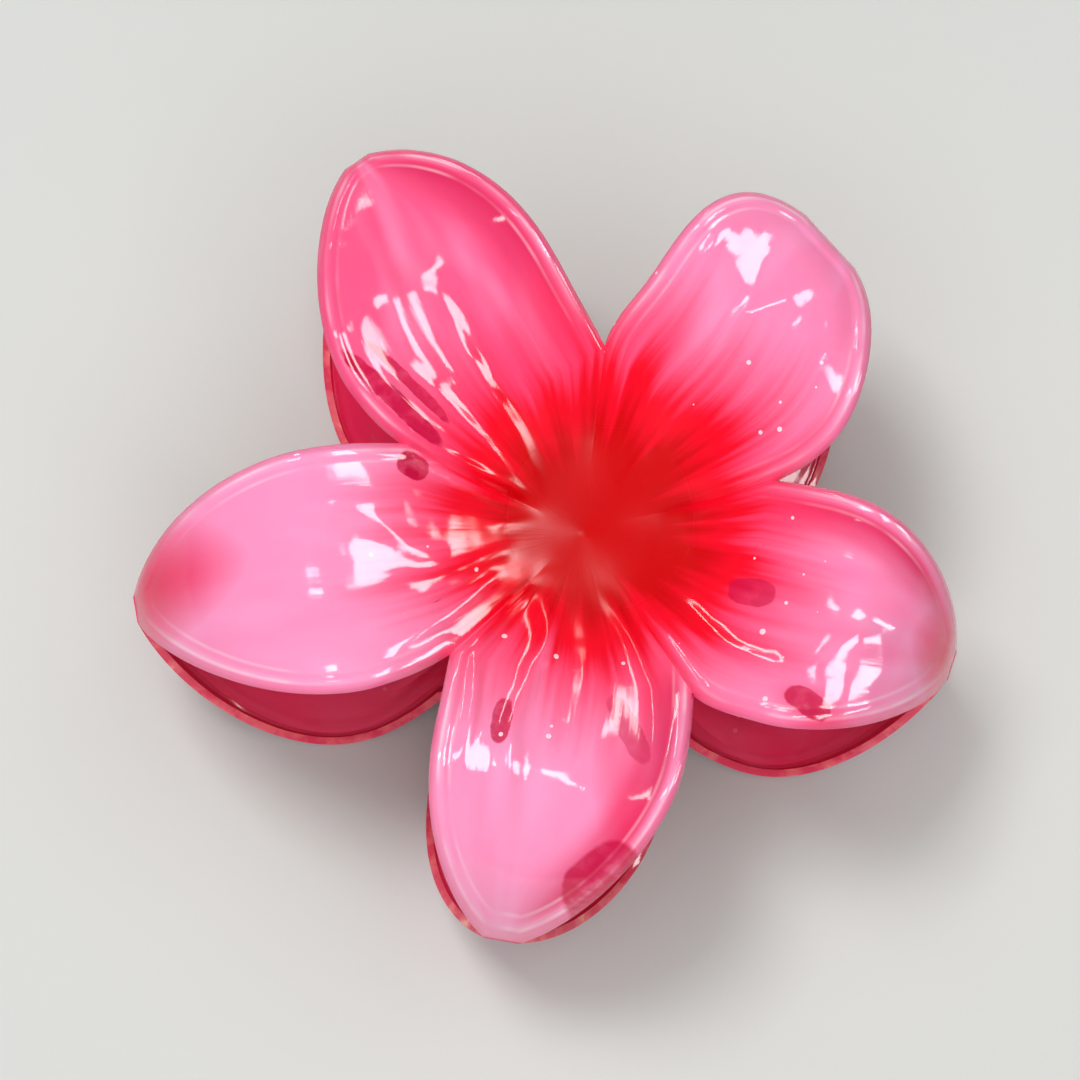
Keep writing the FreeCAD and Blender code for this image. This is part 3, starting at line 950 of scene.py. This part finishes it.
def inner_material():
    """The inner faces of the petals: painted shade, a deep red with a little of the outer colour in it.
    """
    material, shader, tree = new_material("petal_inner")
    glossy(shader, 0.16)
    base = petal_colour(tree, outer=False)[0]
    tree.links.new(mix(tree, INNER_SHADE_SHARE, base, INNER_SHADE_RED), shader.inputs["Base Color"])
    return material


def rim_material():
    """The rims of the petals, painted lighter towards peach as painted light glowing through the plastic.
    """
    material, shader, tree = new_material("petal_rim")
    glossy(shader, 0.1, 0.4)
    place = add_node(tree, "ShaderNodeTexCoord").outputs["Object"]
    noise = add_node(tree, "ShaderNodeTexNoise", in_Scale=420.0, in_Detail=4.0)
    tree.links.new(place, noise.inputs["Vector"])
    tree.links.new(ramp(tree, noise.outputs["Fac"], RIM_GLOW_REDS), shader.inputs["Base Color"])
    return material


def rose_plastic_material():
    """The rose plastic of the tines, lugs and spring seats."""
    material, shader, tree = new_material("rose_plastic")
    glossy(shader, 0.14)
    place = add_node(tree, "ShaderNodeTexCoord").outputs["Object"]
    noise = add_node(tree, "ShaderNodeTexNoise", in_Scale=160.0, in_Detail=3.0)
    tree.links.new(place, noise.inputs["Vector"])
    tree.links.new(ramp(tree, noise.outputs["Fac"], ROSE_PLASTIC), shader.inputs["Base Color"])
    return material


def steel_material(name, value, roughness):
    """Drawn steel wire, with fine lines along it."""
    material, shader, tree = new_material(name)
    shader.inputs["Metallic"].default_value = 1.0
    place = add_node(tree, "ShaderNodeTexCoord").outputs["Object"]
    mapping = add_node(tree, "ShaderNodeMapping")
    mapping.inputs["Scale"].default_value = (300.0, 6000.0, 6000.0)
    tree.links.new(place, mapping.inputs["Vector"])
    noise = add_node(tree, "ShaderNodeTexNoise", in_Scale=1.0, in_Detail=3.0)
    tree.links.new(mapping.outputs[0], noise.inputs["Vector"])
    grey = ramp(tree, noise.outputs["Fac"], [(0.3, value * 0.8), (0.7, value * 1.15)])
    tree.links.new(grey, shader.inputs["Base Color"])
    rough = maths(tree, "MULTIPLY_ADD", noise.outputs["Fac"], 0.12)
    rough.node.inputs[2].default_value = roughness
    tree.links.new(rough, shader.inputs["Roughness"])
    return material


def dress_cad_nodes():
    """Gives the CAD nodes that stay in view their materials."""
    plastic = rose_plastic_material()
    pin = steel_material("pin_wire_steel", 0.6, 0.25)
    for name, node in frame["nodes"].items():
        material = pin if name == "hinge_pin" else plastic
        node.data.materials.clear()
        node.data.materials.append(material)


# ---- camera, light and floor ----

CAMERA_DISTANCE = 0.438
CAMERA_LENS = 150.0
NEAREST_SEEN = 0.01
FARTHEST_SEEN = 10.0
CAMERA_BACK = Vector((-0.0188, -0.1755, 0.9843))
CAMERA_ROLL = math.radians(4.16)
AIM_RIGHT = -0.00385
AIM_UP = 0.00048

SKY_COLOUR = (0.93, 0.95, 1.0, 1.0)
SKY_STRENGTH = 0.13
FLOOR_COLOUR = (0.60, 0.61, 0.585, 1.0)
FLOOR_ROUGHNESS = 0.85
FLOOR_SIZE = 4.0
FLOOR_DROP = 0.0001

# Softboxes: name, degrees round from +X, degrees down from overhead, distance, size, brightness, and
# whether it only shines in reflections, where the others only light the scene
SOFTBOXES = [
    ("key", 142, 21, 0.85, (0.22, 0.22), 22.5, False),
    ("overhead", 0, 0, 1.0, (1.2, 1.2), 1.7, False),
    ("low_fill", -85, 68, 0.8, (0.9, 0.5), 1.8, False),
    ("window", 24, 36, 0.7, (0.26, 0.26), 16.0, True),
    ("side_window", 9, 70, 0.7, (0.16, 0.26), 15.0, True),
    ("tall_strip", 104, 64, 0.7, (0.06, 0.40), 17.0, True),
    ("left_strip", 108, 14, 0.7, (0.20, 0.07), 17.0, True),
]


def camera():
    """Looks down on the front flower, a little from the jaws' side."""
    data = bpy.data.cameras.new("camera")
    data.lens = CAMERA_LENS
    data.clip_start = NEAREST_SEEN
    data.clip_end = FARTHEST_SEEN
    holder = bpy.data.objects.new("camera", data)
    bpy.context.scene.collection.objects.link(holder)
    back = CAMERA_BACK.normalized()
    up = Vector((-math.sin(CAMERA_ROLL), math.cos(CAMERA_ROLL), 0.0))
    up = (up - back * up.dot(back)).normalized()
    right = up.cross(back)
    place = CENTRE + right * AIM_RIGHT + up * AIM_UP + back * CAMERA_DISTANCE
    axes = Matrix((right, up, back)).transposed().to_4x4()
    holder.matrix_world = Matrix.Translation(place) @ axes
    bpy.context.scene.camera = holder


def softbox(name, azimuth, tilt, distance, size, brightness, in_reflections):
    """A softbox aimed at the flower, which either lights it or shines in its reflections."""
    data = bpy.data.lights.new(name, "AREA")
    data.shape = "RECTANGLE"
    data.size, data.size_y = size
    data.energy = brightness * math.pi * size[0] * size[1]
    holder = bpy.data.objects.new(name, data)
    turn, lean = math.radians(azimuth), math.radians(tilt)
    way = Vector((math.cos(turn) * math.sin(lean), math.sin(turn) * math.sin(lean), math.cos(lean)))
    holder.location = CENTRE + way * distance
    holder.rotation_euler = (-way).to_track_quat("-Z", "Y").to_euler()
    holder.visible_diffuse = not in_reflections
    holder.visible_glossy = in_reflections
    bpy.context.scene.collection.objects.link(holder)


def floor_material():
    """Plain pale card."""
    material, shader = new_material("pale_floor")[:2]
    shader.inputs["Roughness"].default_value = FLOOR_ROUGHNESS
    shader.inputs["Base Color"].default_value = FLOOR_COLOUR
    return material


def surroundings():
    """A pale floor, a pale sky and soft lights."""
    bpy.ops.mesh.primitive_plane_add(size=FLOOR_SIZE, location=(0.0, 0.0, -FLOOR_DROP))
    floor = bpy.context.object
    floor.name = "floor"
    floor.data.materials.append(floor_material())
    world = bpy.data.worlds.new("studio")
    world.use_nodes = True
    background = world.node_tree.nodes["Background"]
    background.inputs["Color"].default_value = SKY_COLOUR
    background.inputs["Strength"].default_value = SKY_STRENGTH
    bpy.context.scene.world = world
    for box in SOFTBOXES:
        softbox(*box)
    bpy.context.scene.view_settings.view_transform = "Standard"


camera()
surroundings()
dress_cad_nodes()
for half in (FRONT, REAR):
    tines(flower(half), half)
torsion_spring()
